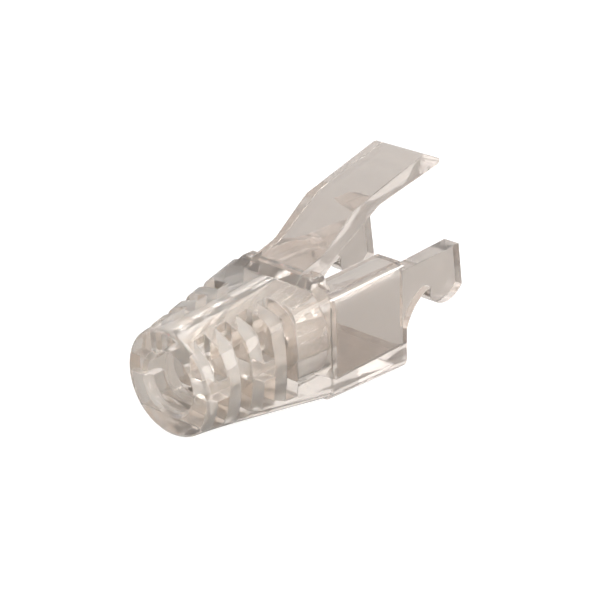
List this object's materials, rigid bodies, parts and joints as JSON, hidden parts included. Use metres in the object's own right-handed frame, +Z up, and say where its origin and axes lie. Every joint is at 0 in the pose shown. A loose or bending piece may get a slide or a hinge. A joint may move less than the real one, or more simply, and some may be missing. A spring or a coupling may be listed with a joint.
{
  "type": "modular plug strain relief boot",
  "caption": "Clear moulded boot for a modular network plug: slotted tapering cable sleeve, open box for the plug's back, hooked side arms and a raised latch guard",
  "frame": {"origin": "Centre of the cable bore's mouth, on the cable end's face", "axes": "+X from the cable end to the plug end along the bore, +Y to the left, +Z up on the latch guard's side"},
  "size_m": [0.0381, 0.0144, 0.0213],
  "materials": {
    "clear_plastic": "clear moulded thermoplastic, smooth and glossy"
  },
  "bodies": {
    "root": {"boot": "clear_plastic"}
  },
  "joints": []
}
